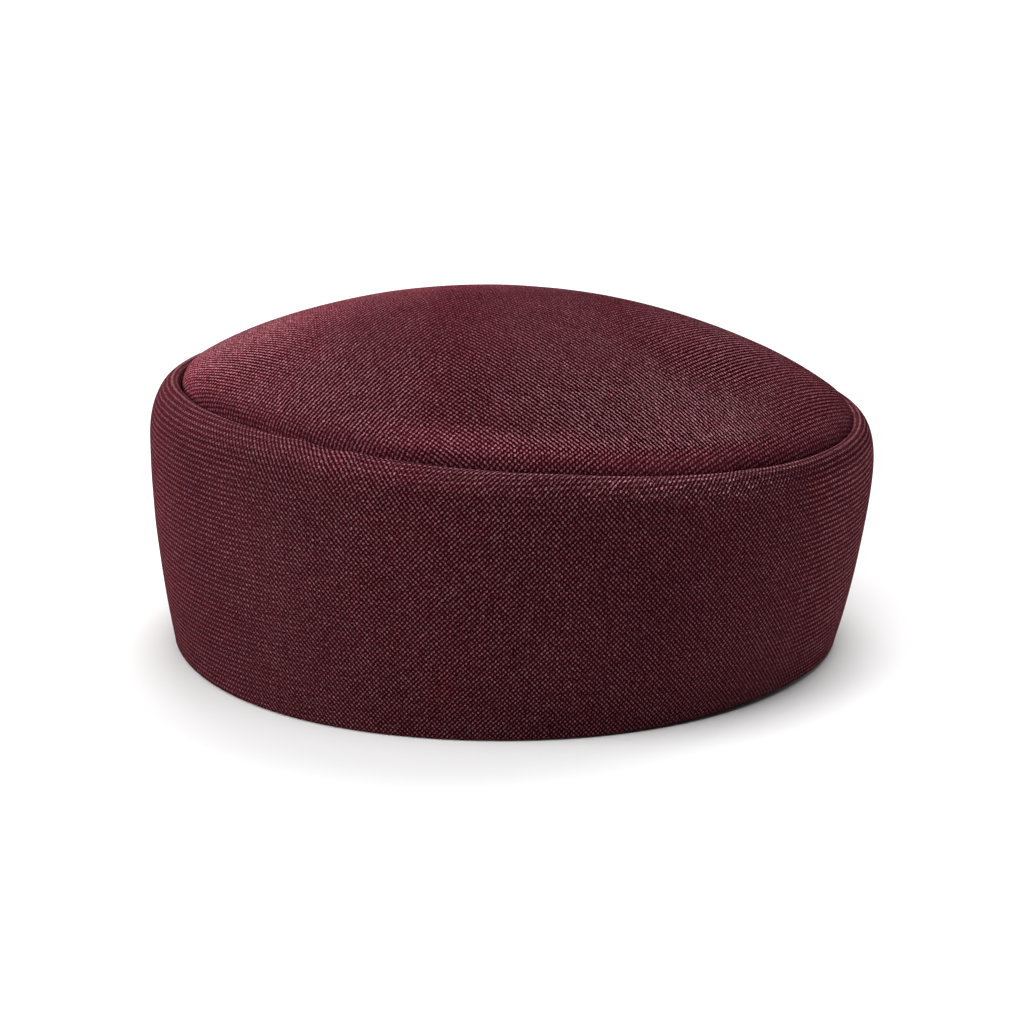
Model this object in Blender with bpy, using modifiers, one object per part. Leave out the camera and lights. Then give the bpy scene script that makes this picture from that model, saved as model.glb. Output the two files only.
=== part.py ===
"""Pillbox hat: a domed cloth crown set into a flared cloth side band, resting on its hem.

Metres, +Z up. The hat's front is towards -X, where the side band is tallest.
"""

import math

import bpy

# Head opening at the hem
HEAD_LENGTH = 0.1937
HEAD_WIDTH = 0.1780

# Cloth
CLOTH_WALL = 0.0015
CUT_EDGE_ROUND = 0.0004

# Side band, from the hem to its top edge
FRONT_HEIGHT = 0.0785
BACK_HEIGHT = 0.0666
EDGE_TWIST = 0.0014
WALL_FLARE = 0.00665
TOP_TURN_IN = 0.00636
WIDEST_SHARE = 0.79
WALL_CURVE = 1.66
TOP_LEAN = 0.0028
TOP_SHIFT = 0.0009

# Seam between the crown and the side band
FOLD_INNER_RADIUS = 0.0003
SEAM_DEPTH = 0.0060
SEAM_GAP = 0.00035

# Crown
CROWN_RISE = 0.0276
CROWN_LIP_RISE = 0.0008
CROWN_LIP_SINK = 0.0012
CROWN_OVERHANG = 0.0010
DOME_POWER = 0.87

# Facets
TURN_STEPS = 72
WALL_ROWS = 6
SHOULDER_ROWS = 6
FOLD_ROWS = 3
DOME_ROWS = 11

# Sizes that follow from the ones above
HEM_RADIUS = HEAD_LENGTH / 2 + CLOTH_WALL
PLAN_RATIO = (HEAD_WIDTH / 2 + CLOTH_WALL) / HEM_RADIUS
MIDDLE_HEIGHT = (FRONT_HEIGHT + BACK_HEIGHT) / 2
WIDEST_RADIUS = HEM_RADIUS + WALL_FLARE
WIDEST_HEIGHT = WIDEST_SHARE * MIDDLE_HEIGHT
TOP_EDGE_RADIUS = WIDEST_RADIUS - TOP_TURN_IN
FOLD_RADIUS = CLOTH_WALL + FOLD_INNER_RADIUS
BAND_SEAM_RADIUS = TOP_EDGE_RADIUS - FOLD_RADIUS
CROWN_SEAM_RADIUS = BAND_SEAM_RADIUS - SEAM_GAP
CROWN_RADIUS = CROWN_SEAM_RADIUS + CROWN_OVERHANG
SEAM_BOTTOM = MIDDLE_HEIGHT - FOLD_RADIUS - SEAM_DEPTH


def clear_scene():
    """Remove whatever objects the file holds."""
    for item in list(bpy.data.objects):
        bpy.data.objects.remove(item, do_unlink=True)


def cloth_material():
    """The burgundy woven cloth that both pieces are cut from."""
    material = bpy.data.materials.new("burgundy_cloth")
    material.use_nodes = True
    shader = material.node_tree.nodes["Principled BSDF"]
    shader.inputs["Base Color"].default_value = (0.085, 0.012, 0.022, 1.0)
    shader.inputs["Roughness"].default_value = 0.85
    shader.inputs["Metallic"].default_value = 0.0
    return material


def band_profile():
    """Outside of the band: up out of the seam, over the folded top edge, down the wall to the hem."""
    points = [(BAND_SEAM_RADIUS, SEAM_BOTTOM)]
    for row in range(FOLD_ROWS):
        turn = math.radians(90) * row / FOLD_ROWS
        radius = TOP_EDGE_RADIUS - FOLD_RADIUS * math.cos(turn)
        height = MIDDLE_HEIGHT - FOLD_RADIUS + FOLD_RADIUS * math.sin(turn)
        points.append((radius, height))
    for row in range(SHOULDER_ROWS + 1):
        turn = math.radians(90) * row / SHOULDER_ROWS
        radius = TOP_EDGE_RADIUS + TOP_TURN_IN * math.sin(turn)
        height = WIDEST_HEIGHT + (MIDDLE_HEIGHT - WIDEST_HEIGHT) * math.cos(turn)
        points.append((radius, height))
    for row in range(1, WALL_ROWS + 1):
        share = row / WALL_ROWS
        radius = WIDEST_RADIUS - WALL_FLARE * share ** WALL_CURVE
        points.append((radius, WIDEST_HEIGHT * (1 - share)))
    return points


def crown_profile():
    """Outside of the crown: from the middle of the dome out to its lip and down into the seam."""
    start = MIDDLE_HEIGHT + CROWN_LIP_RISE
    rise = CROWN_RISE - CROWN_LIP_RISE
    points = []
    for row in range(DOME_ROWS + 1):
        turn = math.radians(90) * row / DOME_ROWS
        radius = CROWN_RADIUS * math.sin(turn)
        height = start + rise * max(0.0, math.cos(turn)) ** (2 * DOME_POWER)
        points.append((radius, height))
    points.append((CROWN_SEAM_RADIUS, MIDDLE_HEIGHT - CROWN_LIP_SINK))
    points.append((CROWN_SEAM_RADIUS, SEAM_BOTTOM))
    return points


def apply_modifiers(item):
    """Bake the modifiers of an object into its mesh."""
    bpy.context.view_layer.objects.active = item
    for modifier in list(item.modifiers):
        bpy.ops.object.modifier_apply(modifier=modifier.name)


def turn_profile(name, points):
    """Turn an open profile of radii and heights once round +Z."""
    mesh = bpy.data.meshes.new(name)
    vertices = [(radius, 0.0, height) for radius, height in points]
    edges = [(row, row + 1) for row in range(len(points) - 1)]
    mesh.from_pydata(vertices, edges, [])
    item = bpy.data.objects.new(name, mesh)
    bpy.context.scene.collection.objects.link(item)
    screw = item.modifiers.new("turn", "SCREW")
    screw.steps = TURN_STEPS
    screw.render_steps = TURN_STEPS
    screw.use_merge_vertices = True
    screw.merge_threshold = 0.00001
    apply_modifiers(item)
    return item


def fit_to_head(item):
    """Change the turned round form into the hat's oval, sloping and leaning one."""
    slope = (FRONT_HEIGHT - BACK_HEIGHT) / (2 * TOP_EDGE_RADIUS)
    twist = EDGE_TWIST / TOP_EDGE_RADIUS ** 2
    for vertex in item.data.vertices:
        x, y, z = vertex.co
        height_here = MIDDLE_HEIGHT - slope * x + twist * x * y
        if z < MIDDLE_HEIGHT:
            height = z * height_here / MIDDLE_HEIGHT
        else:
            height = z - MIDDLE_HEIGHT + height_here
        shoulder = (z - WIDEST_HEIGHT) / (MIDDLE_HEIGHT - WIDEST_HEIGHT)
        back = TOP_LEAN * z / MIDDLE_HEIGHT + TOP_SHIFT * min(max(shoulder, 0.0), 1.0) ** 2
        vertex.co = (x + back, y * PLAN_RATIO, height)


def give_thickness(item):
    """Thicken the outside surface inwards by the cloth's wall."""
    solidify = item.modifiers.new("cloth", "SOLIDIFY")
    solidify.thickness = CLOTH_WALL
    solidify.offset = -1.0
    solidify.use_even_offset = True
    apply_modifiers(item)


def lay_hem_flat(item):
    """Press the hem's underside into the plane that it rests on."""
    for vertex in item.data.vertices:
        if vertex.co.z < CLOTH_WALL / 2:
            vertex.co.z = 0.0


def soften_cut_edges(item):
    """Take the sharp corners off the hem and off the edges that are turned into the seam."""
    bevel = item.modifiers.new("cut_edges", "BEVEL")
    bevel.width = CUT_EDGE_ROUND
    bevel.segments = 1
    bevel.limit_method = "ANGLE"
    bevel.angle_limit = math.radians(60)
    apply_modifiers(item)


def make_piece(name, points, material):
    """One cloth shell from its outside profile."""
    item = turn_profile(name, points)
    fit_to_head(item)
    give_thickness(item)
    lay_hem_flat(item)
    soften_cut_edges(item)
    item.data.shade_smooth()
    item.data.materials.append(material)
    return item


def centre_over_origin(pieces):
    """Slide the whole hat so that the middle of its plan lies over the origin."""
    corners = [vertex.co for piece in pieces for vertex in piece.data.vertices]
    middle_x = (min(co.x for co in corners) + max(co.x for co in corners)) / 2
    middle_y = (min(co.y for co in corners) + max(co.y for co in corners)) / 2
    for piece in pieces:
        for vertex in piece.data.vertices:
            vertex.co.x -= middle_x
            vertex.co.y -= middle_y


def build():
    """Model the hat in a collection of its own."""
    clear_scene()
    material = cloth_material()
    side_band = make_piece("side_band", band_profile(), material)
    crown = make_piece("crown", crown_profile(), material)
    centre_over_origin([side_band, crown])
    collection = bpy.data.collections.new("pillbox_hat")
    bpy.context.scene.collection.children.link(collection)
    for piece in (side_band, crown):
        bpy.context.scene.collection.objects.unlink(piece)
        collection.objects.link(piece)


build()
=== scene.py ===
"""Pillbox hat: a domed crown sewn into a flared side band, both of one burgundy woven cloth."""

import math

import bpy
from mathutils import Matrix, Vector


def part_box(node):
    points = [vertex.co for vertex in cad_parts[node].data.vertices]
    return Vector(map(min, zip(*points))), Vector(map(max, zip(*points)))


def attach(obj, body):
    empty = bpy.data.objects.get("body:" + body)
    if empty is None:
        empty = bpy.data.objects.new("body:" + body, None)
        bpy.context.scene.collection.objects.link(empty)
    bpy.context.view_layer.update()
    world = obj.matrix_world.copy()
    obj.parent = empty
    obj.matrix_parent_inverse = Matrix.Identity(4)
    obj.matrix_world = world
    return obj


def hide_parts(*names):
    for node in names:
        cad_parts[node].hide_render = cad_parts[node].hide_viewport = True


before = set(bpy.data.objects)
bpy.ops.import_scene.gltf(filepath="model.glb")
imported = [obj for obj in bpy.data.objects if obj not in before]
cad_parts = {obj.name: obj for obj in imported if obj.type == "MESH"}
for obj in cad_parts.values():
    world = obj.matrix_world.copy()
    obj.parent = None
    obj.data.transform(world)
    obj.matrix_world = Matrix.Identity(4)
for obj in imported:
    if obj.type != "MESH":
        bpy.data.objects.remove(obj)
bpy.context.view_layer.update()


# Side band: one strip of plain-weave cloth over a stiff base, flared from the head opening to a
# wide shoulder. Its top edge is rolled over and turned down into the seam, and its hem is turned
# under, so the section is a closed wall that is swept once round the head's oval.

BAND_LOW, BAND_HIGH = (Vector(corner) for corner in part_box("side_band"))
FRONT_HEIGHT = 0.0785
BACK_HEIGHT = 0.0666
MIDDLE_HEIGHT = (FRONT_HEIGHT + BACK_HEIGHT) / 2
EDGE_TWIST = 0.0014
WIDEST_RADIUS = (BAND_HIGH.x - BAND_LOW.x) / 2
WIDEST_SHARE = 0.79
WIDEST_HEIGHT = WIDEST_SHARE * MIDDLE_HEIGHT
PLAN_RATIO = (BAND_HIGH.y - BAND_LOW.y) / (BAND_HIGH.x - BAND_LOW.x)
WALL_FLARE = 0.00665
WALL_CURVE = 1.66
TOP_TURN_IN = 0.00636
TOP_EDGE_RADIUS = WIDEST_RADIUS - TOP_TURN_IN
TOP_LEAN = 0.0028
TOP_SHIFT = 0.0009
PLAN_SHIFT = -TOP_LEAN * WIDEST_HEIGHT / MIDDLE_HEIGHT
CLOTH_WALL = 0.0015
FOLD_INNER_RADIUS = 0.0003
FOLD_RADIUS = CLOTH_WALL + FOLD_INNER_RADIUS
SEAM_DEPTH = 0.0060
SEAM_BOTTOM = MIDDLE_HEIGHT - FOLD_RADIUS - SEAM_DEPTH
HEM_ROUND = 0.0014
HEM_CORNER = 0.0004
WELD_DISTANCE = 0.00001
STEPS_ROUND = 480
QUARTER_TURN = math.radians(90)


def band_outside(fold_rows=10, shoulder_rows=16, wall_rows=30):
    """Radii and heights up out of the seam, over the rolled edge and down the wall to the hem."""
    points = [(TOP_EDGE_RADIUS - FOLD_RADIUS, SEAM_BOTTOM)]
    for row in range(fold_rows):
        turn = QUARTER_TURN * row / fold_rows
        radius = TOP_EDGE_RADIUS - FOLD_RADIUS * math.cos(turn)
        points.append((radius, MIDDLE_HEIGHT - FOLD_RADIUS + FOLD_RADIUS * math.sin(turn)))
    for row in range(shoulder_rows):
        turn = QUARTER_TURN * row / shoulder_rows
        radius = TOP_EDGE_RADIUS + TOP_TURN_IN * math.sin(turn)
        height = WIDEST_HEIGHT + (MIDDLE_HEIGHT - WIDEST_HEIGHT) * math.cos(turn)
        points.append((radius, height))
    for row in range(wall_rows + 1):
        share = row / wall_rows * (1 - HEM_ROUND / WIDEST_HEIGHT)
        radius = WIDEST_RADIUS - WALL_FLARE * share ** WALL_CURVE
        points.append((radius, WIDEST_HEIGHT * (1 - share)))
    return points


def length_of(line):
    """The length along a line of radii and heights."""
    return sum(math.dist(here, after) for here, after in zip(line, line[1:]))


def inside_of(outside):
    """The same line moved by the cloth's wall to the side that the head is on, run backwards."""
    inside = []
    last = len(outside) - 1
    for row, (radius, height) in enumerate(outside):
        before = outside[max(row - 1, 0)]
        after = outside[min(row + 1, last)]
        run, rise = after[0] - before[0], after[1] - before[1]
        step = CLOTH_WALL / math.hypot(run, rise)
        inside.append((radius + rise * step, height - run * step))
    return inside[::-1]


def band_section(hem_rows=5):
    """The closed section of the band's cloth, with the rounded underside of its hem."""
    outside = band_outside()
    inside = inside_of(outside)
    hem = []
    for row in range(1, hem_rows + 1):
        turn = QUARTER_TURN * row / hem_rows
        radius = outside[-1][0] - HEM_ROUND * (1 - math.cos(turn))
        hem.append((radius, HEM_ROUND * (1 - math.sin(turn))))
    hem.append((inside[0][0] + HEM_CORNER / 2, 0.0))
    inside[0] = (inside[0][0], HEM_CORNER)
    return outside + hem + inside + outside[:1]


def add_node(tree, kind, inputs=None, **settings):
    """Add one node with its settings; an input is a value or the socket that it is linked to."""
    node = tree.nodes.new(kind)
    for name, value in settings.items():
        setattr(node, name, value)
    for key, value in (inputs or {}).items():
        if isinstance(value, bpy.types.NodeSocket):
            tree.links.new(value, node.inputs[key])
        else:
            node.inputs[key].default_value = value
    return node


def name_inputs(tree, **names_by_kind):
    """Give a node group its named inputs, kind by kind."""
    for kind, names in names_by_kind.items():
        for name in names:
            tree.interface.new_socket(name, in_out="INPUT", socket_type="NodeSocket" + kind)


def turned_cloth_tree():
    """Sweeps a section round the head's oval, with the hat's slope, twist and lean."""
    tree = bpy.data.node_groups.new("turned_cloth", "GeometryNodeTree")
    tree.interface.new_socket("Geometry", in_out="OUTPUT", socket_type="NodeSocketGeometry")
    name_inputs(tree, Geometry=("Section",), Int=("Steps",), Bool=("Cut As Disc",), Material=("Cloth",),
                Float=("Plan Ratio", "Middle Height", "Widest Height", "Slope", "Twist", "Lean", "Top Shift",
                       "Plan Shift", "Waviness", "Waves Per Metre", "Free Height", "Threads Around",
                       "Thread Pitch X", "Thread Pitch Y", "Edge At", "Hem Length", "Weave Turn",
                       "Closer To Rim"))
    given = add_node(tree, "NodeGroupInput").outputs

    # A grid with a column for each step round the hat and a row for each point of the section
    section = add_node(tree, "GeometryNodeMeshToCurve", {"Mesh": given["Section"]}).outputs["Curve"]
    points = add_node(tree, "GeometryNodeAttributeDomainSize", {"Geometry": section},
                      component="CURVE").outputs["Point Count"]
    columns = add_node(tree, "ShaderNodeMath", {0: given["Steps"], 1: 1.0}, operation="ADD").outputs[0]
    grid = add_node(tree, "GeometryNodeMeshGrid",
                    {"Size X": 1.0, "Size Y": 1.0, "Vertices X": columns, "Vertices Y": points})
    share = add_node(tree, "ShaderNodeSeparateXYZ", {0: grid.outputs["UV Map"]}).outputs
    last = add_node(tree, "ShaderNodeMath", {0: points, 1: 1.0}, operation="SUBTRACT").outputs[0]
    place = add_node(tree, "ShaderNodeMath", {0: share["Y"], 1: last}, operation="MULTIPLY").outputs[0]
    row = add_node(tree, "FunctionNodeFloatToInt", {0: place}, rounding_mode="ROUND").outputs[0]
    position = add_node(tree, "GeometryNodeInputPosition").outputs[0]
    here = add_node(tree, "GeometryNodeSampleIndex", {"Geometry": section, "Value": position, "Index": row},
                    data_type="FLOAT_VECTOR", domain="POINT").outputs["Value"]
    length = add_node(tree, "GeometryNodeSplineParameter").outputs["Length"]
    along = add_node(tree, "GeometryNodeSampleIndex", {"Geometry": section, "Value": length, "Index": row},
                     data_type="FLOAT", domain="POINT").outputs["Value"]
    total = add_node(tree, "GeometryNodeCurveLength", {"Curve": section}).outputs["Length"]

    # The section's radius is turned round the hat, and the plan is narrowed to the head's oval
    angle = add_node(tree, "ShaderNodeMath", {0: share["X"], 1: math.tau}, operation="MULTIPLY").outputs[0]
    cosine = add_node(tree, "ShaderNodeMath", {0: angle}, operation="COSINE").outputs[0]
    sine = add_node(tree, "ShaderNodeMath", {0: angle}, operation="SINE").outputs[0]
    profile = add_node(tree, "ShaderNodeSeparateXYZ", {0: here}).outputs
    x = add_node(tree, "ShaderNodeMath", {0: profile["X"], 1: cosine}, operation="MULTIPLY").outputs[0]
    y = add_node(tree, "ShaderNodeMath", {0: profile["X"], 1: sine}, operation="MULTIPLY").outputs[0]
    y_oval = add_node(tree, "ShaderNodeMath", {0: y, 1: given["Plan Ratio"]},
                      operation="MULTIPLY").outputs[0]

    # Heights are stretched to the sloping, slightly twisted top edge, and the top leans to the back
    sloped = add_node(tree, "ShaderNodeMath", {0: x, 1: given["Slope"]}, operation="MULTIPLY").outputs[0]
    flat_top = add_node(tree, "ShaderNodeMath", {0: given["Middle Height"], 1: sloped},
                        operation="SUBTRACT").outputs[0]
    corner = add_node(tree, "ShaderNodeMath", {0: x, 1: y}, operation="MULTIPLY").outputs[0]
    top = add_node(tree, "ShaderNodeMath", {0: corner, 1: given["Twist"], 2: flat_top},
                   operation="MULTIPLY_ADD").outputs[0]
    stretch = add_node(tree, "ShaderNodeMath", {0: top, 1: given["Middle Height"]},
                       operation="DIVIDE").outputs[0]
    low = add_node(tree, "ShaderNodeMath", {0: profile["Z"], 1: given["Middle Height"]},
                   operation="MINIMUM").outputs[0]
    high = add_node(tree, "ShaderNodeMath", {0: profile["Z"], 1: low}, operation="SUBTRACT").outputs[0]
    z = add_node(tree, "ShaderNodeMath", {0: low, 1: stretch, 2: high}, operation="MULTIPLY_ADD").outputs[0]
    lean = add_node(tree, "ShaderNodeMath", {0: given["Lean"], 1: given["Middle Height"]},
                    operation="DIVIDE").outputs[0]
    x_shifted = add_node(tree, "ShaderNodeMath", {0: x, 1: given["Plan Shift"]}, operation="ADD").outputs[0]
    x_lean = add_node(tree, "ShaderNodeMath", {0: profile["Z"], 1: lean, 2: x_shifted},
                      operation="MULTIPLY_ADD").outputs[0]
    shoulder = add_node(tree, "ShaderNodeMapRange",
                        {"Value": profile["Z"], "From Min": given["Widest Height"],
                         "From Max": given["Middle Height"]}).outputs["Result"]
    squared = add_node(tree, "ShaderNodeMath", {0: shoulder, 1: 2.0}, operation="POWER").outputs[0]
    x_top = add_node(tree, "ShaderNodeMath", {0: squared, 1: given["Top Shift"], 2: x_lean},
                     operation="MULTIPLY_ADD").outputs[0]
    placed = add_node(tree, "ShaderNodeCombineXYZ", {"X": x_top, "Y": y_oval, "Z": z}).outputs[0]
    shaped = add_node(tree, "GeometryNodeSetPosition",
                      {"Geometry": grid.outputs["Mesh"], "Position": placed}).outputs[0]

    # The cloth lies a little uneven, but not at the hem, which rests flat
    noise = add_node(tree, "ShaderNodeTexNoise",
                     {"Vector": position, "Scale": given["Waves Per Metre"], "Detail": 1.0}).outputs["Color"]
    centred = add_node(tree, "ShaderNodeVectorMath", {0: noise, 1: (0.5, 0.5, 0.5)},
                       operation="SUBTRACT").outputs[0]
    above = add_node(tree, "ShaderNodeSeparateXYZ", {0: position}).outputs["Z"]
    free = add_node(tree, "ShaderNodeMapRange",
                    {"Value": above, "From Min": 0.0, "From Max": given["Free Height"]}).outputs["Result"]
    amount = add_node(tree, "ShaderNodeMath", {0: given["Waviness"], 1: free},
                      operation="MULTIPLY").outputs[0]
    wave = add_node(tree, "ShaderNodeVectorMath", {0: centred, 3: amount}, operation="SCALE").outputs[0]
    waved = add_node(tree, "GeometryNodeSetPosition", {"Geometry": shaped, "Offset": wave}).outputs[0]

    # Threads of a strip: counted round it, and up it in rows that run level with the hem
    around = add_node(tree, "ShaderNodeMath", {0: share["X"], 1: given["Threads Around"]},
                      operation="MULTIPLY").outputs[0]
    from_hem = add_node(tree, "ShaderNodeMath", {0: along, 1: given["Hem Length"]},
                        operation="SUBTRACT").outputs[0]
    level = add_node(tree, "ShaderNodeMath", {0: from_hem, 1: stretch, 2: given["Hem Length"]},
                     operation="MULTIPLY_ADD").outputs[0]
    up_strip = add_node(tree, "ShaderNodeMath", {0: level, 1: given["Thread Pitch Y"]},
                        operation="DIVIDE").outputs[0]
    strip = add_node(tree, "ShaderNodeCombineXYZ", {"X": around, "Y": up_strip}).outputs[0]

    # Threads of a disc: counted from its middle both ways, laid askew and closer together at its sides
    back = add_node(tree, "ShaderNodeMath", {0: total, 1: along}, operation="SUBTRACT").outputs[0]
    reach = add_node(tree, "ShaderNodeMath", {0: along, 1: back}, operation="MINIMUM").outputs[0]
    disc_x = add_node(tree, "ShaderNodeMath", {0: reach, 1: cosine}, operation="MULTIPLY").outputs[0]
    disc_y = add_node(tree, "ShaderNodeMath", {0: reach, 1: sine}, operation="MULTIPLY").outputs[0]
    flat = add_node(tree, "ShaderNodeCombineXYZ", {"X": disc_x, "Y": disc_y}).outputs[0]
    laid = add_node(tree, "ShaderNodeVectorRotate", {"Vector": flat, "Angle": given["Weave Turn"]},
                    rotation_type="Z_AXIS").outputs[0]
    on_cloth = add_node(tree, "ShaderNodeSeparateXYZ", {0: laid}).outputs
    y_squared = add_node(tree, "ShaderNodeMath", {0: on_cloth["Y"], 1: 2.0}, operation="POWER").outputs[0]
    closer = add_node(tree, "ShaderNodeMath", {0: y_squared, 1: given["Closer To Rim"], 2: 1.0},
                      operation="MULTIPLY_ADD").outputs[0]
    spread_y = add_node(tree, "ShaderNodeMath", {0: on_cloth["Y"], 1: closer},
                        operation="MULTIPLY").outputs[0]
    thread_x = add_node(tree, "ShaderNodeMath", {0: on_cloth["X"], 1: given["Thread Pitch X"]},
                        operation="DIVIDE").outputs[0]
    thread_y = add_node(tree, "ShaderNodeMath", {0: spread_y, 1: given["Thread Pitch Y"]},
                        operation="DIVIDE").outputs[0]
    disc = add_node(tree, "ShaderNodeCombineXYZ", {"X": thread_x, "Y": thread_y}).outputs[0]

    # UV map "threads" counts threads; UV map "edge" holds the metres past the piece's edge line
    threads = add_node(tree, "GeometryNodeSwitch",
                       {"Switch": given["Cut As Disc"], "False": strip, "True": disc},
                       input_type="VECTOR").outputs[0]
    counted = add_node(tree, "GeometryNodeStoreNamedAttribute",
                       {"Geometry": waved, "Name": "threads", "Value": threads},
                       data_type="FLOAT2", domain="CORNER").outputs[0]
    past_edge = add_node(tree, "ShaderNodeMath", {0: reach, 1: given["Edge At"]},
                         operation="SUBTRACT").outputs[0]
    edge = add_node(tree, "ShaderNodeCombineXYZ", {"X": past_edge, "Y": share["X"]}).outputs[0]
    marked = add_node(tree, "GeometryNodeStoreNamedAttribute",
                      {"Geometry": counted, "Name": "edge", "Value": edge},
                      data_type="FLOAT2", domain="CORNER").outputs[0]

    closed = add_node(tree, "GeometryNodeMergeByDistance",
                      {"Geometry": marked, "Distance": WELD_DISTANCE}).outputs[0]
    smooth = add_node(tree, "GeometryNodeSetShadeSmooth", {"Geometry": closed}).outputs[0]
    real = add_node(tree, "GeometryNodeRealizeInstances", {"Geometry": smooth}).outputs[0]
    dyed = add_node(tree, "GeometryNodeSetMaterial", {"Geometry": real, "Material": given["Cloth"]})
    add_node(tree, "NodeGroupOutput", {0: dyed.outputs[0]})
    return tree


TURNED_CLOTH = turned_cloth_tree()

# The form that the band and the crown share. The waves are about 26 mm long and under half a millimetre high
HAT_FORM = {
    "Steps": STEPS_ROUND,
    "Plan Ratio": PLAN_RATIO,
    "Middle Height": MIDDLE_HEIGHT,
    "Widest Height": WIDEST_HEIGHT,
    "Slope": (FRONT_HEIGHT - BACK_HEIGHT) / (2 * TOP_EDGE_RADIUS),
    "Twist": EDGE_TWIST / TOP_EDGE_RADIUS ** 2,
    "Lean": TOP_LEAN,
    "Top Shift": TOP_SHIFT,
    "Plan Shift": PLAN_SHIFT,
    "Waviness": 0.0006,
    "Waves Per Metre": 38.0,
    "Free Height": 0.012,
}


def sweep_section(name, section, cloth, **own_inputs):
    """Make one cloth piece from its closed section, as a plain mesh at the origin."""
    outline = bpy.data.meshes.new(name)
    outline.from_pydata([(radius, 0.0, height) for radius, height in section],
                        [(row, row + 1) for row in range(len(section) - 1)], [])
    maker = bpy.data.objects.new(name + "_section", outline)
    bpy.context.scene.collection.objects.link(maker)
    modifier = maker.modifiers.new("turned_cloth", "NODES")
    modifier.node_group = TURNED_CLOTH
    values = {**HAT_FORM, **own_inputs, "Cloth": cloth}
    for socket in TURNED_CLOTH.interface.items_tree:
        if socket.in_out == "INPUT" and socket.name in values:
            modifier[socket.identifier] = values[socket.name]
    bpy.context.view_layer.update()
    evaluated = maker.evaluated_get(bpy.context.evaluated_depsgraph_get())
    piece = bpy.data.objects.new(name, bpy.data.meshes.new_from_object(evaluated))
    bpy.data.objects.remove(maker)
    bpy.context.scene.collection.objects.link(piece)
    return piece


def linear_colour(hex_code):
    """An sRGB hex colour as linear RGBA."""
    channels = [int(hex_code[place:place + 2], 16) / 255 for place in (1, 3, 5)]
    linear = [c / 12.92 if c <= 0.04045 else ((c + 0.055) / 1.055) ** 2.4 for c in channels]
    return (*linear, 1.0)


# The weave, measured in threads and in shares of one: how far a thread wanders, how much its slant changes,
# how unevenly threads, crossings and fibres are coloured, how much lighter or darker worn places are, how
# many redder patches and worn places a metre holds, and how long, wide and turned a fleck is
WANDER = 0.75
SLACK = 0.2
DYE_UNEVEN = 0.12
SPARKLE = 0.3
FIBRE_GRAIN = 0.8
WORN = 0.1
PATCHES_PER_METRE = 90.0
WORN_PER_METRE = 30.0
FLECK_SIZE = (2.0, 0.7, 1.0)
FLECK_TURN = (0.0, 0.0, math.radians(-45))


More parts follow.
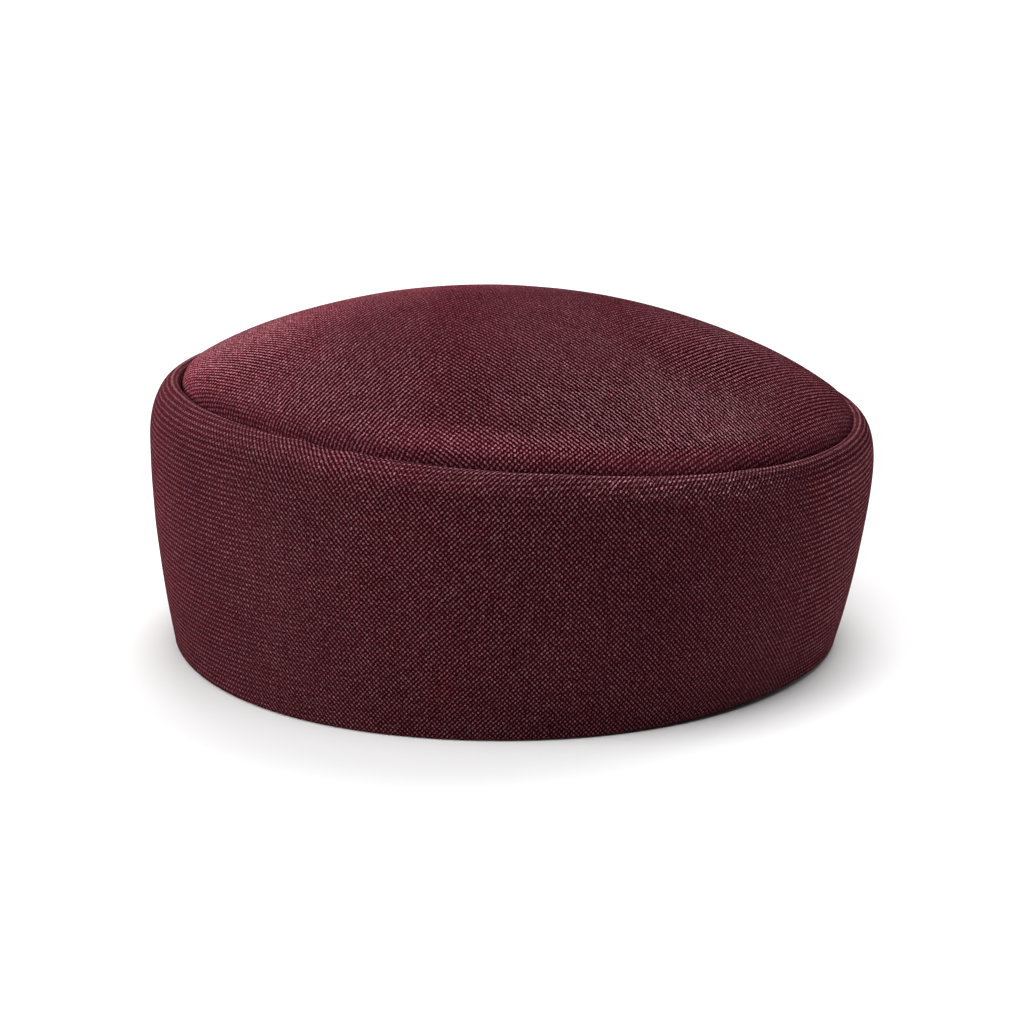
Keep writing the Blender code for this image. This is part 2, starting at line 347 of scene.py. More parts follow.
def plain_weave_group():
    """Plain weave: round threads over and under in turn, with painted shade in the dark gaps between them and
    a painted highlight on their tops.
    """
    tree = bpy.data.node_groups.new("plain_weave", "ShaderNodeTree")
    name_inputs(tree, Vector=("Threads",),
                Float=("Slant", "Ribs", "Beads", "Fuzz", "Painted Shading", "Highlighted", "Flecks"),
                Color=("Gap", "Body", "Tip", "Warm Tip", "Nap", "Rubbed Fibre", "Loose Fibre"))
    tree.interface.new_socket("Color", in_out="OUTPUT", socket_type="NodeSocketColor")
    tree.interface.new_socket("Height", in_out="OUTPUT", socket_type="NodeSocketFloat")
    given = add_node(tree, "NodeGroupInput").outputs

    # Threads wander by up to a third of their width, within about one thread's length
    drift = add_node(tree, "ShaderNodeTexNoise", {"Vector": given["Threads"], "Scale": 0.8, "Detail": 2.0},
                     noise_dimensions="2D").outputs["Color"]
    sideways = add_node(tree, "ShaderNodeVectorMath", {0: drift, 1: (0.5, 0.5, 0.5)},
                        operation="SUBTRACT").outputs[0]
    moved = add_node(tree, "ShaderNodeVectorMath", {0: sideways, 3: WANDER}, operation="SCALE").outputs[0]
    woven = add_node(tree, "ShaderNodeVectorMath", {0: given["Threads"], 1: moved},
                     operation="ADD").outputs[0]

    # Over and under in turn: sin(pi u) sin(pi v). A slant joins the bright crossings along one diagonal, ribs
    # join them along the rows, and beads part each row into crossings again
    turned = add_node(tree, "ShaderNodeVectorMath", {0: woven, 3: math.pi}, operation="SCALE").outputs[0]
    sines = add_node(tree, "ShaderNodeVectorMath", {0: turned}, operation="SINE").outputs[0]
    cosines = add_node(tree, "ShaderNodeVectorMath", {0: turned}, operation="COSINE").outputs[0]
    sine = add_node(tree, "ShaderNodeSeparateXYZ", {0: sines}).outputs
    cosine = add_node(tree, "ShaderNodeSeparateXYZ", {0: cosines}).outputs
    crossing = add_node(tree, "ShaderNodeMath", {0: sine["X"], 1: sine["Y"]},
                        operation="MULTIPLY").outputs[0]
    diagonal = add_node(tree, "ShaderNodeMath", {0: cosine["X"], 1: cosine["Y"]},
                        operation="MULTIPLY").outputs[0]
    loose = add_node(tree, "ShaderNodeTexNoise", {"Vector": given["Threads"], "Scale": 0.15, "Detail": 1.0},
                     noise_dimensions="2D").outputs[0]
    leaning = add_node(tree, "ShaderNodeMapRange", {"Value": loose, "From Min": 0.2, "From Max": 0.8,
                                                    "To Min": -SLACK, "To Max": SLACK}).outputs[0]
    slant = add_node(tree, "ShaderNodeMath", {0: given["Slant"], 1: leaning}, operation="ADD").outputs[0]
    slanted = add_node(tree, "ShaderNodeMath", {0: diagonal, 1: slant, 2: crossing},
                       operation="MULTIPLY_ADD").outputs[0]
    ribbed = add_node(tree, "ShaderNodeMath", {0: sine["Y"], 1: given["Ribs"], 2: slanted},
                      operation="MULTIPLY_ADD").outputs[0]
    double = add_node(tree, "ShaderNodeMath", {0: sine["X"], 1: sine["X"]}, operation="MULTIPLY").outputs[0]
    between = add_node(tree, "ShaderNodeMath", {0: double, 1: 2.0, 2: -1.0},
                       operation="MULTIPLY_ADD").outputs[0]
    weave = add_node(tree, "ShaderNodeMath", {0: between, 1: given["Beads"], 2: ribbed},
                     operation="MULTIPLY_ADD").outputs[0]

    # Each crossing, warp thread and weft thread takes the dye a little differently, and so do its fibres
    crossing_here = add_node(tree, "ShaderNodeVectorMath", {0: woven}, operation="FLOOR").outputs[0]
    per_crossing = add_node(tree, "ShaderNodeTexWhiteNoise", {"Vector": crossing_here},
                            noise_dimensions="2D").outputs["Value"]
    along_warp = add_node(tree, "ShaderNodeVectorMath", {0: given["Threads"], 1: (0.9, 0.06, 0.0)},
                          operation="MULTIPLY").outputs[0]
    along_weft = add_node(tree, "ShaderNodeVectorMath", {0: given["Threads"], 1: (0.06, 0.9, 0.0)},
                          operation="MULTIPLY").outputs[0]
    warp = add_node(tree, "ShaderNodeTexNoise", {"Vector": along_warp, "Scale": 1.0, "Detail": 1.0},
                    noise_dimensions="2D").outputs[0]
    weft = add_node(tree, "ShaderNodeTexNoise", {"Vector": along_weft, "Scale": 1.0, "Detail": 1.0},
                    noise_dimensions="2D").outputs[0]
    threads = add_node(tree, "ShaderNodeMath", {0: warp, 1: weft}, operation="ADD").outputs[0]
    uneven = add_node(tree, "ShaderNodeMapRange",
                      {"Value": threads, "From Min": 0.6, "From Max": 1.4,
                       "To Min": 1 - DYE_UNEVEN, "To Max": 1 + DYE_UNEVEN}).outputs[0]
    sparkle = add_node(tree, "ShaderNodeMapRange", {"Value": per_crossing, "To Min": 1 - SPARKLE,
                                                    "To Max": 1 + SPARKLE}).outputs[0]
    fibres = add_node(tree, "ShaderNodeTexNoise", {"Vector": given["Threads"], "Scale": 2.0, "Detail": 1.0},
                      noise_dimensions="2D").outputs[0]
    grain = add_node(tree, "ShaderNodeMapRange",
                     {"Value": fibres, "From Min": 0.3, "From Max": 0.7,
                      "To Min": 1 - FIBRE_GRAIN, "To Max": 1 + FIBRE_GRAIN}).outputs[0]

    # Patches about 10 mm wide are redder and others, about 30 mm wide, lighter or darker, as if handled
    place = add_node(tree, "ShaderNodeTexCoord").outputs["Object"]
    patch = add_node(tree, "ShaderNodeTexNoise",
                     {"Vector": place, "Scale": PATCHES_PER_METRE, "Detail": 3.0}).outputs[0]
    warm = add_node(tree, "ShaderNodeMapRange",
                    {"Value": patch, "From Min": 0.5, "From Max": 1.0}).outputs[0]
    shade = add_node(tree, "ShaderNodeTexNoise",
                     {"Vector": place, "Scale": WORN_PER_METRE, "Detail": 3.0}).outputs[0]
    worn = add_node(tree, "ShaderNodeMapRange", {"Value": shade, "From Min": 0.3, "From Max": 0.7,
                                                 "To Min": 1 - WORN, "To Max": 1 + WORN}).outputs[0]

    # Painted shade, nearly black, in the gaps, full colour on the sides of the threads, and a painted
    # highlight, pale, where they come to the top
    low = add_node(tree, "ShaderNodeMapRange", {"Value": weave, "From Min": -0.62, "From Max": 0.40},
                   interpolation_type="SMOOTHSTEP").outputs[0]
    high = add_node(tree, "ShaderNodeMapRange", {"Value": weave, "From Min": -0.15, "From Max": 1.05},
                    interpolation_type="SMOOTHSTEP").outputs[0]
    bright = add_node(tree, "ShaderNodeMath", {0: high, 1: sparkle}, operation="MULTIPLY").outputs[0]
    tip = add_node(tree, "ShaderNodeMix", {"Factor": warm, "A": given["Tip"], "B": given["Warm Tip"]},
                   data_type="RGBA").outputs["Result"]
    body = add_node(tree, "ShaderNodeMix", {"Factor": low, "A": given["Gap"], "B": given["Body"]},
                    data_type="RGBA").outputs["Result"]
    cloth = add_node(tree, "ShaderNodeMix", {"Factor": bright, "A": body, "B": tip},
                     data_type="RGBA", clamp_factor=False).outputs["Result"]

    # Short fibres stand up off the threads and hide part of the weave; where a painted highlight is asked
    # for, paler fibres are added on the crossings
    fuzzy = add_node(tree, "ShaderNodeMix", {"Factor": given["Fuzz"], "A": cloth, "B": given["Nap"]},
                     data_type="RGBA").outputs["Result"]
    on_top = add_node(tree, "ShaderNodeMapRange", {"Value": low, "To Min": 0.1, "To Max": 1.7}).outputs[0]
    highlight_share = add_node(tree, "ShaderNodeMath", {0: given["Highlighted"], 1: on_top},
                        operation="MULTIPLY").outputs[0]
    rubbed = add_node(tree, "ShaderNodeMix", {"Factor": highlight_share, "A": fuzzy, "B": given["Rubbed Fibre"]},
                      data_type="RGBA", blend_type="ADD", clamp_factor=False).outputs["Result"]

    # Flecks: here and there a few pale fibres lie loose on top, two threads long, along the diagonal
    along_slant = add_node(tree, "ShaderNodeMapping",
                           {"Vector": given["Threads"], "Rotation": FLECK_TURN, "Scale": FLECK_SIZE},
                           vector_type="TEXTURE").outputs[0]
    streaks = add_node(tree, "ShaderNodeTexNoise", {"Vector": along_slant, "Scale": 1.0, "Detail": 0.0},
                       noise_dimensions="2D").outputs[0]
    loose_ends = add_node(tree, "ShaderNodeMapRange",
                          {"Value": streaks, "From Min": 0.57, "From Max": 0.66}).outputs[0]
    caught = add_node(tree, "ShaderNodeMath", {0: loose_ends, 1: given["Flecks"]},
                      operation="MULTIPLY").outputs[0]
    flecks = add_node(tree, "ShaderNodeMath", {0: caught, 1: high}, operation="MULTIPLY").outputs[0]
    flecked = add_node(tree, "ShaderNodeMix", {"Factor": flecks, "A": rubbed, "B": given["Loose Fibre"]},
                       data_type="RGBA", blend_type="ADD", clamp_factor=False).outputs["Result"]

    # All of it is lightened or darkened together, by the dye, the worn places and the fibre grain, and by
    # painted light and shade given as an input
    threads_dyed = add_node(tree, "ShaderNodeMath", {0: uneven, 1: worn}, operation="MULTIPLY").outputs[0]
    dyed = add_node(tree, "ShaderNodeMath", {0: threads_dyed, 1: grain}, operation="MULTIPLY").outputs[0]
    level = add_node(tree, "ShaderNodeMath", {0: dyed, 1: given["Painted Shading"], 2: dyed},
                     operation="MULTIPLY_ADD").outputs[0]
    colour = add_node(tree, "ShaderNodeVectorMath", {0: flecked, 3: level}, operation="SCALE").outputs[0]
    add_node(tree, "NodeGroupOutput", {"Color": colour, "Height": weave})
    return tree


PLAIN_WEAVE = plain_weave_group()
THREAD_RELIEF = 0.00012


def woven_cloth(name, **colours):
    """A matt cloth material with the weave group in it; returns the material and the group's node."""
    cloth = bpy.data.materials.new(name)
    cloth.use_nodes = True
    tree = cloth.node_tree
    tree.nodes.clear()
    threads = add_node(tree, "ShaderNodeUVMap", uv_map="threads").outputs[0]
    weave = add_node(tree, "ShaderNodeGroup", node_tree=PLAIN_WEAVE)
    tree.links.new(threads, weave.inputs["Threads"])
    for socket, hex_code in colours.items():
        weave.inputs[socket.replace("_", " ").title()].default_value = linear_colour(hex_code)
    bump = add_node(tree, "ShaderNodeBump",
                    {"Height": weave.outputs["Height"], "Distance": THREAD_RELIEF, "Strength": 0.6})
    shader = add_node(tree, "ShaderNodeBsdfPrincipled",
                      {"Base Color": weave.outputs["Color"], "Normal": bump.outputs[0], "Roughness": 0.7,
                       "Specular IOR Level": 0.0})
    add_node(tree, "ShaderNodeOutputMaterial", {"Surface": shader.outputs[0]})
    return cloth, weave


def by_place(tree, place, stops):
    """A value that runs evenly from each place in a table to the next, by a length in metres."""
    first, last = stops[0][0], stops[-1][0]
    largest = max(abs(value) for at, value in stops)
    share = add_node(tree, "ShaderNodeMapRange",
                     {"Value": place, "From Min": first, "From Max": last}).outputs[0]
    ramp = add_node(tree, "ShaderNodeValToRGB", {"Fac": share})
    while len(ramp.color_ramp.elements) < len(stops):
        ramp.color_ramp.elements.new(0.5)
    for stop, (at, value) in zip(ramp.color_ramp.elements, stops):
        stop.position = (at - first) / (last - first)
        grey = 0.5 + value / (2 * largest)
        stop.color = (grey, grey, grey, 1.0)
    return add_node(tree, "ShaderNodeMapRange",
                    {"Value": ramp.outputs["Color"], "To Min": -largest, "To Max": largest}).outputs[0]


def run_of_marks(tree, past_edge, width, along, strength):
    """A mark along an edge: its shape across the edge, by one table, times its strength along the hat."""
    return add_node(tree, "ShaderNodeMath",
                    {0: by_place(tree, past_edge, width), 1: by_place(tree, along, strength)},
                    operation="MULTIPLY").outputs[0]


def parts_of_uv(tree, uv_map):
    """The two lengths in one of the piece's UV maps: threads counted, or metres past the edge line."""
    place = add_node(tree, "ShaderNodeUVMap", uv_map=uv_map).outputs[0]
    return add_node(tree, "ShaderNodeSeparateXYZ", {0: place}).outputs


# How the band's cloth changes from its front to its back: metres from the middle of the hat, then a value.
# Slant 1 joins the crossings along one diagonal only and -1 along the other; ribs and beads are how strongly
# the rows and the crossings stand out, and fuzz how much of the weave is hidden. The last table is painted
# light and shade: the band's two ends are painted lighter, where more light falls on them, and its middle
# painted darker
BAND_SLANT = ((-0.100, 0.0), (-0.080, 0.0), (-0.065, 0.35), (-0.029, 0.0), (-0.008, -0.25), (0.035, 0.1),
              (0.100, 0.0))
BAND_RIBS = ((-0.100, 0.65), (-0.080, 0.6), (-0.060, 0.25), (-0.030, 0.0), (0.055, 0.0), (0.074, 0.2),
             (0.083, 0.75), (0.100, 0.65))
BAND_BEADS = ((-0.020, 0.0), (-0.008, 0.12), (0.048, 0.12), (0.060, 0.0))
BAND_FUZZ = ((-0.100, 0.45), (-0.035, 0.15), (0.000, 0.15), (0.048, 0.25), (0.100, 0.2))
BAND_PAINTED_LIGHT = ((-0.104, 0.3), (-0.090, 0.0), (-0.073, -0.1), (-0.004, -0.1), (0.010, -0.17), (0.035, -0.17),
                (0.055, 0.0), (0.078, 0.15), (0.100, 0.65))

# Rolling the edge draws the top rows of threads another way: between which rows that fades out, counted
# from the edge in the seam; how many rows the sloping edge climbs past in each metre; the slant that is
# added, by metres from the middle of the hat; and the least ribs
RIM_ROWS = (14.0, 24.0)
ROWS_CLIMBED = 101.0
RIM_SLANT = ((-0.065, 0.0), (-0.048, 0.4), (-0.010, -0.4), (0.045, -0.65), (0.060, -0.5), (0.078, 0.0))
RIM_RIBS = 0.4

# The rolled edge has a painted highlight in two rows of pale crossings, where it catches the light. The
# second one nears the first by 10 mm in each metre towards the back. The cloth under them has painted light,
# and painted shade at the back, and has flecks: metres past the edge line and how much there, then metres
# from the middle of the hat and how much there
EDGE_HIGHLIGHT = ((-0.0008, 0.0), (-0.0004, 0.8), (0.0006, 0.7), (0.0012, 0.0))
EDGE_ALONG = ((-0.100, 0.6), (-0.060, 0.6), (-0.045, 0.1), (-0.025, 0.1), (0.004, 1.0), (0.060, 1.0),
              (0.085, 0.3))
SECOND_ROW = ((0.0015, 0.0), (0.0018, 0.8), (0.0021, 0.8), (0.0024, 0.0))
SECOND_ROW_ALONG = ((0.016, 0.0), (0.034, 0.7), (0.070, 0.9), (0.095, 0.3))
SECOND_ROW_NEARS = 0.010
SECOND_ROW_START = -0.0004
UNDER_EDGE_SHADING = ((0.0001, 0.0), (0.0010, 0.5), (0.0050, 0.5), (0.0080, 0.0))
UNDER_EDGE_SHADING_ALONG = ((-0.090, 0.4), (-0.040, 1.0), (-0.012, 1.0), (0.004, 0.4), (0.034, 0.4), (0.051, -0.1),
                    (0.100, -1.0))
FLECKS = ((0.0010, 0.0), (0.0022, 1.0), (0.0060, 1.0), (0.0095, 0.0))
FLECKS_ALONG = ((-0.005, 0.0), (0.015, 0.5), (0.035, 1.2), (0.062, 1.2), (0.074, 0.0))

# Burgundy cloth, plain-woven from dull spun threads. They scatter light evenly and show no gloss; the greyish
# pink on top of each crossing is a painted highlight, the deep red at its sides the threads' own colour, and
# the nearly black in the gaps painted shade
band_cloth, band_weave = woven_cloth("band_woven_burgundy", gap="#180002", body="#3d030e", tip="#745358",
                                     warm_tip="#784646", nap="#4f2029", rubbed_fibre="#55383a",
                                     loose_fibre="#967174")
tree = band_cloth.node_tree
across = add_node(tree, "ShaderNodeSeparateXYZ",
                  {0: add_node(tree, "ShaderNodeTexCoord").outputs["Object"]}).outputs["X"]
strip = parts_of_uv(tree, "threads")
past_edge = parts_of_uv(tree, "edge")["X"]

below_rim = add_node(tree, "ShaderNodeMath", {0: across, 1: -ROWS_CLIMBED, 2: strip["Y"]},
                     operation="MULTIPLY_ADD").outputs[0]
at_rim = add_node(tree, "ShaderNodeMapRange", {"Value": below_rim, "From Min": RIM_ROWS[0],
                                               "From Max": RIM_ROWS[1], "To Min": 1.0, "To Max": 0.0},
                  interpolation_type="SMOOTHSTEP").outputs[0]
rim_ribs = add_node(tree, "ShaderNodeMath", {0: at_rim, 1: RIM_RIBS}, operation="MULTIPLY").outputs[0]
ribs = add_node(tree, "ShaderNodeMath", {0: by_place(tree, across, BAND_RIBS), 1: rim_ribs},
                operation="MAXIMUM").outputs[0]
slant = add_node(tree, "ShaderNodeMath", {0: by_place(tree, across, RIM_SLANT), 1: at_rim,
                                          2: by_place(tree, across, BAND_SLANT)},
                 operation="MULTIPLY_ADD").outputs[0]

# A painted highlight: two pale rows along the rolled edge, where it catches the light
first_row = run_of_marks(tree, past_edge, EDGE_HIGHLIGHT, across, EDGE_ALONG)
nearer = add_node(tree, "ShaderNodeMath", {0: across, 1: SECOND_ROW_NEARS, 2: SECOND_ROW_START},
                  operation="MULTIPLY_ADD").outputs[0]
moved_edge = add_node(tree, "ShaderNodeMath", {0: past_edge, 1: nearer}, operation="ADD").outputs[0]
second_row = run_of_marks(tree, moved_edge, SECOND_ROW, across, SECOND_ROW_ALONG)
both_rows = add_node(tree, "ShaderNodeMath", {0: first_row, 1: second_row}, operation="MAXIMUM").outputs[0]

# Every other thread lies on top of the edge, so the pale marks of the painted highlight come and go along it
half_turns = add_node(tree, "ShaderNodeMath", {0: strip["X"], 1: math.pi}, operation="MULTIPLY").outputs[0]
every_other = add_node(tree, "ShaderNodeMath", {0: half_turns}, operation="SINE").outputs[0]
crossings = add_node(tree, "ShaderNodeMapRange", {"Value": every_other, "From Min": -1.0, "From Max": 1.0,
                                                  "To Min": 0.2, "To Max": 1.8}).outputs[0]
rubbed = add_node(tree, "ShaderNodeMath", {0: both_rows, 1: crossings}, operation="MULTIPLY").outputs[0]

# Painted light under the rolled edge, turning to painted shade towards the back, added to the band's painted
# light and shade
under_edge_shading = run_of_marks(tree, past_edge, UNDER_EDGE_SHADING, across, UNDER_EDGE_SHADING_ALONG)
lighter = add_node(tree, "ShaderNodeMath", {0: by_place(tree, across, BAND_PAINTED_LIGHT), 1: under_edge_shading},
                   operation="ADD").outputs[0]
flecks = run_of_marks(tree, past_edge, FLECKS, across, FLECKS_ALONG)
band_looks = {"Slant": slant, "Ribs": ribs, "Beads": by_place(tree, across, BAND_BEADS),
              "Fuzz": by_place(tree, across, BAND_FUZZ), "Painted Shading": lighter, "Highlighted": rubbed,
              "Flecks": flecks}
for socket, value in band_looks.items():
    tree.links.new(value, band_weave.inputs[socket])

# Rows of threads lie 0.76 mm apart up the band. The threads that cross them are 0.68 mm apart, and there
# is an even number of them, so that the weave meets itself where the strip closes
ROW_PITCH = 0.00076
CROSSING_PITCH = 0.000677
HEM_LENGTH = length_of(band_outside())
BAND_ROUND = math.tau * WIDEST_RADIUS * math.sqrt((1 + PLAN_RATIO ** 2) / 2)
THREAD_PAIRS = round(BAND_ROUND / (2 * CROSSING_PITCH))
side_band = sweep_section("side_band_cloth", band_section(), band_cloth,
                          **{"Threads Around": 2.0 * THREAD_PAIRS, "Thread Pitch Y": ROW_PITCH,
                             "Edge At": SEAM_DEPTH + QUARTER_TURN * FOLD_RADIUS,
                             "Hem Length": HEM_LENGTH, "Cut As Disc": False})

# Where the band leaves its smooth form: degrees round from +X, height, spread in degrees, spread in height,
# then how far the cloth is pushed outwards and up
BAND_NUDGES = (
    (319.0, 0.000, 26.0, 0.008, -0.0005, 0.0012),
    (203.0, 0.000, 16.0, 0.010, -0.0004, 0.0000),
    (238.0, 0.000, 20.0, 0.008, 0.0007, 0.0000),
    (236.0, 0.074, 2.2, 0.004, 0.0000, 0.0006),
    (241.5, 0.072, 1.8, 0.005, 0.0004, -0.0005),
    (246.0, 0.073, 2.4, 0.004, -0.0002, 0.0005),
    (282.0, 0.073, 14.0, 0.005, 0.0000, 0.0004),
)

# Past three spreads a push is under a thousandth of a millimetre
SPREADS_REACHED = 3


def nudge(piece, moves):
    """Push a piece's cloth softly outwards and up round the places in a table."""
    for vertex in piece.data.vertices:
        x, y, z = vertex.co
        turn = math.degrees(math.atan2(y / PLAN_RATIO, x))
        for at_turn, at_height, turn_width, height_width, outward, up in moves:
            off = (turn - at_turn + 180) % 360 - 180
            reach = (off / turn_width) ** 2 + ((z - at_height) / height_width) ** 2
            if reach < SPREADS_REACHED ** 2:
                weight = math.exp(-reach)
                x += outward * weight * math.cos(math.radians(turn))
                y += outward * weight * math.sin(math.radians(turn))
                z += up * weight
        vertex.co = (x, y, z)


nudge(side_band, BAND_NUDGES)
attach(side_band, "root")
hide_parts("side_band")


# Crown: one disc of the same cloth, blocked into a low dome. Its edge is turned straight down into
# the seam beside the band's, and the weave runs front to back and side to side across it.

SEAM_GAP = 0.00035
EDGE_OVERHANG = 0.0003
DOME_OVERHANG = 0.0010
CROWN_SEAM_RADIUS = TOP_EDGE_RADIUS - FOLD_RADIUS - SEAM_GAP
CROWN_EDGE_RADIUS = CROWN_SEAM_RADIUS + EDGE_OVERHANG
DOME_RADIUS = CROWN_SEAM_RADIUS + DOME_OVERHANG
LIP_RISE = 0.0008
LIP_DEPTH = 0.0012
DOME_START = MIDDLE_HEIGHT + LIP_RISE
DOME_RISE = 0.0268
DOME_POWER = 0.87
DOME_SHARE = 0.965


def crown_outside(dome_rows=54, edge_rows=18, lip_rows=3, seam_rows=3):
    """Radii and heights from the middle of the dome over its rounded edge and down into the seam."""
    points = []
    for row in range(dome_rows + 1):
        share = math.sin(math.asin(DOME_SHARE) * row / dome_rows)
        points.append((DOME_RADIUS * share, DOME_START + DOME_RISE * (1 - share ** 2) ** DOME_POWER))
    radius, height = points[-1]
    slope = DOME_RISE * DOME_POWER * 2 * share * (1 - share ** 2) ** (DOME_POWER - 1) / DOME_RADIUS
    tilt = math.atan(slope)
    edge_round = (CROWN_EDGE_RADIUS - radius) / (1 - math.sin(tilt))
    for row in range(1, edge_rows + 1):
        turn = tilt + (QUARTER_TURN - tilt) * row / edge_rows
        points.append((radius + edge_round * (math.sin(turn) - math.sin(tilt)),
                       height - edge_round * (math.cos(tilt) - math.cos(turn))))
    start = points[-1][1]
    lip = start - LIP_DEPTH
    for row in range(1, lip_rows + 1):
        share = row / lip_rows
        outward = (CROWN_EDGE_RADIUS - CROWN_SEAM_RADIUS) * (1 + math.cos(math.pi * share)) / 2
        points.append((CROWN_SEAM_RADIUS + outward, start + (lip - start) * share))
    for row in range(1, seam_rows + 1):
        points.append((CROWN_SEAM_RADIUS, lip + (SEAM_BOTTOM - lip) * row / seam_rows))
    return points


def crown_section():
    """The closed section of the crown's cloth: the outside, then the same line back inside."""
    outside = crown_outside()
    inside = inside_of(outside)
    inside[-1] = (0.0, inside[-1][1])
    return outside + inside


# How the crown's cloth changes from its front to its back: metres from the middle of the hat, then a value,
# as for the band. Higher up the dome the changes of slant and beads crowd together round one place, so the
# places in their two tables are spread by that much there
CROWN_SLANT = ((-0.110, -0.6), (-0.092, -0.35), (-0.070, 0.65), (-0.033, 0.65), (-0.004, -0.4),
               (0.020, -0.9), (0.062, -0.9), (0.084, 0.3), (0.110, 0.3))
CROWN_BEADS = ((-0.015, 0.0), (-0.005, 0.2), (0.010, 0.3), (0.060, 0.3), (0.085, 0.1))
CROWN_FUZZ = ((-0.095, 0.25), (-0.065, 0.15), (-0.006, 0.2), (0.018, 0.03), (0.060, 0.0), (0.080, 0.3),
              (0.100, 0.35))
# Painted shade on the crown: darker from a little left of its middle to its right side, most across the
# middle
CROWN_PAINTED_SHADE = ((-0.062, 0.0), (-0.042, -0.24), (-0.018, -0.23), (0.025, -0.24), (0.050, -0.08))
CROWDS_BETWEEN = (0.080, 0.100)
CROWDED_MOST = 2.1
CROWDS_ROUND = -0.020

# The top of the dome is softer, by its height, and its far left quarter has a painted sheen that makes it
# paler: metres that way, then metres to the far side, where that fades out again
CROWN_FUZZ_ABOVE = ((0.087, 0.0), (0.091, 0.22), (0.096, 0.4), (0.101, 0.6))
TO_BACK_LEFT = (-0.5, 0.86, 0.0)
BACK_LEFT_SHEEN = ((0.004, 0.0), (0.034, 0.75))
BACK_LEFT_SHEEN_ACROSS = ((0.042, 1.0), (0.062, 0.2))

# Near the edge the cloth is drawn another way and is softer, and mostly it has painted light along one line
# and painted shade along another, nearer the seam where the dome turns down into it: metres past the edge
# line (less than 0 is short of it) and how much there, then metres from the middle of the hat and how much
# there
NEAR_EDGE = ((-0.0100, 0.0), (-0.0060, 1.0), (0.0010, 1.0))
EDGE_SLANT = ((-0.100, -0.4), (-0.075, 0.2), (-0.040, 0.55), (-0.014, -0.2), (-0.004, 0.2), (0.050, 0.2),
              (0.090, -0.4))
EDGE_FUZZ = ((-0.0090, 0.0), (-0.0060, 0.25), (-0.0010, 0.45))
EDGE_FUZZ_ALONG = ((-0.080, 1.1), (-0.050, 1.1), (-0.020, 0.6), (0.015, 0.6), (0.035, 1.2))
EDGE_LIT = ((-0.0160, 0.0), (-0.0100, 0.8), (-0.0060, 0.8), (-0.0030, 0.0))
EDGE_LIT_ALONG = ((-0.100, 0.2), (-0.050, -0.1), (-0.015, 0.6), (0.045, 0.0), (0.100, -0.2))
EDGE_DARK = ((-0.0070, 0.0), (-0.0030, 0.8), (-0.0015, 1.0), (-0.0003, 0.4))
EDGE_DARK_ALONG = ((-0.090, 0.0), (-0.080, -0.4), (-0.055, -0.3), (-0.035, -0.05), (0.045, 0.05),
                   (0.060, -0.35))

# The same plain-woven burgundy cloth, as a lit copy of the band's colours: on the crown its threads are
# painted a little paler and redder, and the gaps between them less dark, for the stronger light that falls on
# the top. Here too the pale tops are a painted highlight and the dark gaps painted shade
crown_cloth, crown_weave = woven_cloth("crown_woven_burgundy_lit_copy", gap="#1c0003", body="#480311", tip="#92656c",
                                       warm_tip="#965856", nap="#591f2b")
tree = crown_cloth.node_tree
on_hat = add_node(tree, "ShaderNodeTexCoord").outputs["Object"]
place = add_node(tree, "ShaderNodeSeparateXYZ", {0: on_hat}).outputs
past_edge = parts_of_uv(tree, "edge")["X"]

crowded = add_node(tree, "ShaderNodeMapRange",
                   {"Value": place["Z"], "From Min": CROWDS_BETWEEN[0], "From Max": CROWDS_BETWEEN[1],
                    "To Min": 1.0, "To Max": CROWDED_MOST}).outputs[0]
from_middle = add_node(tree, "ShaderNodeMath", {0: place["X"], 1: -CROWDS_ROUND}, operation="ADD").outputs[0]
across = add_node(tree, "ShaderNodeMath", {0: from_middle, 1: crowded, 2: CROWDS_ROUND},
                  operation="MULTIPLY_ADD").outputs[0]
slant = add_node(tree, "ShaderNodeMix", {"Factor": by_place(tree, past_edge, NEAR_EDGE),
                                        "A": by_place(tree, across, CROWN_SLANT),
                                        "B": by_place(tree, place["X"], EDGE_SLANT)}).outputs["Result"]

over_dome = add_node(tree, "ShaderNodeMath", {0: by_place(tree, place["X"], CROWN_FUZZ),
                                              1: by_place(tree, place["Z"], CROWN_FUZZ_ABOVE)},
                     operation="MAXIMUM").outputs[0]
edge_fuzz = run_of_marks(tree, past_edge, EDGE_FUZZ, place["X"], EDGE_FUZZ_ALONG)
fuzz = add_node(tree, "ShaderNodeMath", {0: over_dome, 1: edge_fuzz}, operation="MAXIMUM").outputs[0]

# Painted light on a strip short of the edge, and painted shade next to the seam
lit = run_of_marks(tree, past_edge, EDGE_LIT, place["X"], EDGE_LIT_ALONG)
dark = run_of_marks(tree, past_edge, EDGE_DARK, place["X"], EDGE_DARK_ALONG)
at_edge = add_node(tree, "ShaderNodeMath", {0: lit, 1: dark}, operation="ADD").outputs[0]
over_crown = add_node(tree, "ShaderNodeMath", {0: by_place(tree, place["X"], CROWN_PAINTED_SHADE), 1: at_edge},
                      operation="ADD").outputs[0]
# A painted sheen on the far left quarter of the dome
to_back_left = add_node(tree, "ShaderNodeVectorMath", {0: on_hat, 1: TO_BACK_LEFT},
                        operation="DOT_PRODUCT").outputs["Value"]
painted_sheen = run_of_marks(tree, to_back_left, BACK_LEFT_SHEEN, place["Y"], BACK_LEFT_SHEEN_ACROSS)
lighter = add_node(tree, "ShaderNodeMath", {0: over_crown, 1: painted_sheen}, operation="ADD").outputs[0]

crown_looks = {"Slant": slant, "Beads": by_place(tree, across, CROWN_BEADS), "Fuzz": fuzz,
               "Painted Shading": lighter}
for socket, value in crown_looks.items():
    tree.links.new(value, crown_weave.inputs[socket])

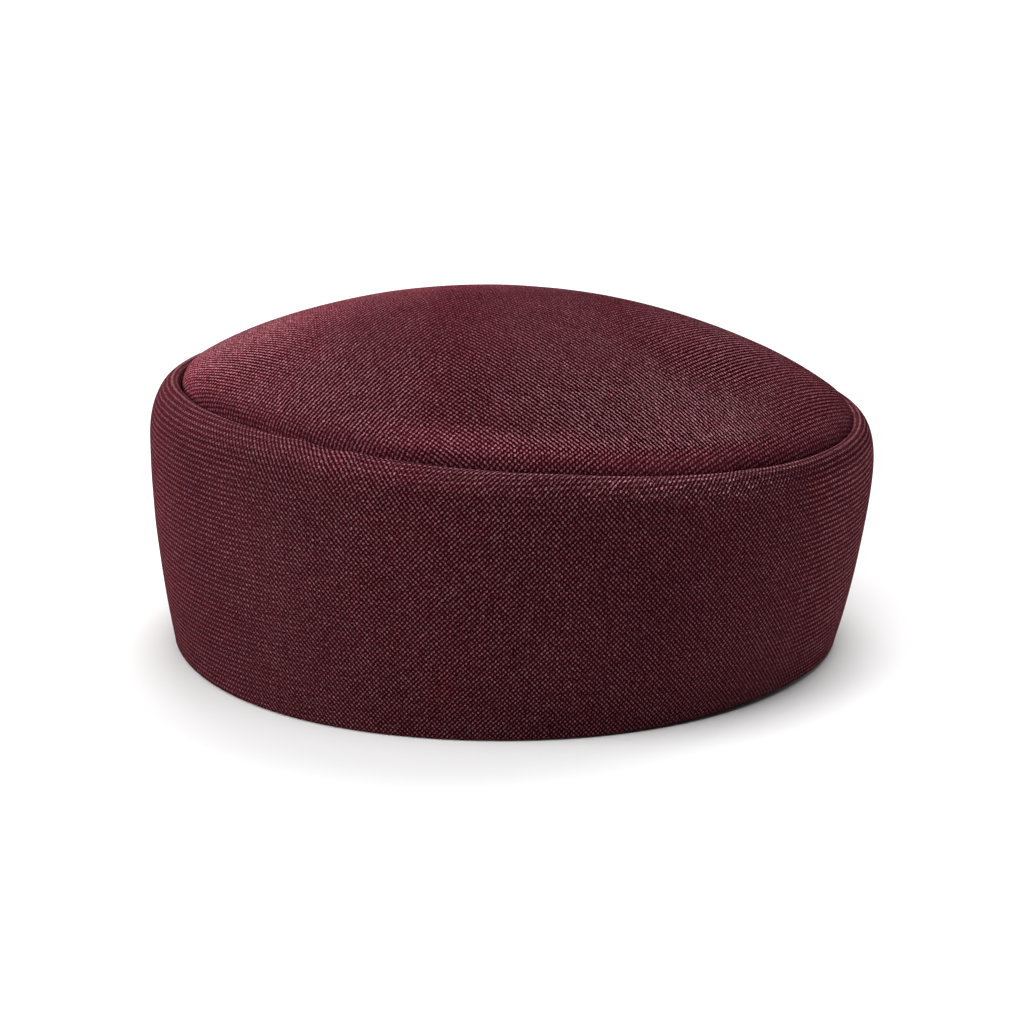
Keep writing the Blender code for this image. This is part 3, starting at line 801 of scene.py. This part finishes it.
# Threads that run side to side lie 0.81 mm apart. Those that run front to back are 1.25 mm apart in the
# middle of the disc and closer to each other, by the square of the distance, towards its two sides
THREAD_PITCH_X = 0.00081
THREAD_PITCH_Y = 0.00125
CLOSER_TO_RIM = 15.5
WEAVE_TURN = math.radians(-5.5)
EDGE_LINE_SHORT = 0.001
CROWN_SHIFT = 0.0004
DOME_LENGTH = length_of(crown_outside(lip_rows=0, seam_rows=0))
crown = sweep_section("crown_cloth", crown_section(), crown_cloth,
                      **{"Thread Pitch X": THREAD_PITCH_X, "Thread Pitch Y": THREAD_PITCH_Y,
                         "Closer To Rim": CLOSER_TO_RIM, "Weave Turn": WEAVE_TURN,
                         "Edge At": DOME_LENGTH - EDGE_LINE_SHORT,
                         "Cut As Disc": True, "Plan Shift": PLAN_SHIFT + CROWN_SHIFT})
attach(crown, "root")
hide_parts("crown")


# Studio: a plain white floor in a white room, soft light from five large panels far away, and a
# camera a little above the hat.

FLOOR_WIDTH = 24.0
ROOM_LIGHT = 0.05
WALL_LIGHT = 1.0

# Matt white paper: no gloss, so that it shows nothing but the hat's soft shadow
bpy.ops.mesh.primitive_plane_add(size=FLOOR_WIDTH)
floor = bpy.context.object
floor.name = "floor"
white = bpy.data.materials.new("white_sweep")
white.use_nodes = True
tree = white.node_tree
tree.nodes.clear()
paper = add_node(tree, "ShaderNodeBsdfPrincipled", {"Base Color": linear_colour("#f6f6f6"),
                                                    "Roughness": 1.0, "Specular IOR Level": 0.0})
add_node(tree, "ShaderNodeOutputMaterial", {"Surface": paper.outputs[0]})
floor.data.materials.append(white)

# The room is seen as white, but gives only a little light itself
world = bpy.data.worlds.new("studio")
bpy.context.scene.world = world
world.use_nodes = True
tree = world.node_tree
tree.nodes.clear()
room = add_node(tree, "ShaderNodeBackground", {"Color": (1, 1, 1, 1), "Strength": ROOM_LIGHT}).outputs[0]
wall = add_node(tree, "ShaderNodeBackground", {"Color": (1, 1, 1, 1), "Strength": WALL_LIGHT}).outputs[0]
seen = add_node(tree, "ShaderNodeLightPath").outputs["Is Camera Ray"]
either = add_node(tree, "ShaderNodeMixShader", {0: seen, 1: room, 2: wall}).outputs[0]
add_node(tree, "ShaderNodeOutputWorld", {"Surface": either})

# Far softboxes: name, degrees round from +X, degrees above the floor, width in degrees, strength
SOFTBOXES = (
    ("left_low", 180.0, 12.0, 24.0, 1.0),
    ("left", 202.0, 29.0, 40.0, 1.9),
    ("right_low", 40.0, 14.0, 30.0, 0.7),
    ("back_right", 72.0, 60.0, 40.0, 1.8),
    ("overhead", 270.0, 78.0, 40.0, 1.72),
)
for name, turn, rise, width, strength in SOFTBOXES:
    light = bpy.data.lights.new(name, "SUN")
    light.energy = strength
    light.angle = math.radians(width)
    softbox = bpy.data.objects.new(name, light)
    level = math.cos(math.radians(rise))
    towards = Vector((level * math.cos(math.radians(turn)), level * math.sin(math.radians(turn)),
                      math.sin(math.radians(rise))))
    softbox.rotation_euler = towards.to_track_quat("Z", "Y").to_euler()
    bpy.context.scene.collection.objects.link(softbox)

EYE = Vector((-0.0001, -0.600, 0.2160))
AIM = Vector((-0.0001, 0.0, 0.0352))
LENS = 74.29
SENSOR_WIDTH = 36.0
camera_data = bpy.data.cameras.new("camera")
camera_data.lens = LENS
camera_data.sensor_width = SENSOR_WIDTH
camera = bpy.data.objects.new("camera", camera_data)
camera.location = EYE
camera.rotation_euler = (AIM - EYE).to_track_quat("-Z", "Y").to_euler()
bpy.context.scene.collection.objects.link(camera)
bpy.context.scene.camera = camera
bpy.context.scene.view_settings.view_transform = "Standard"
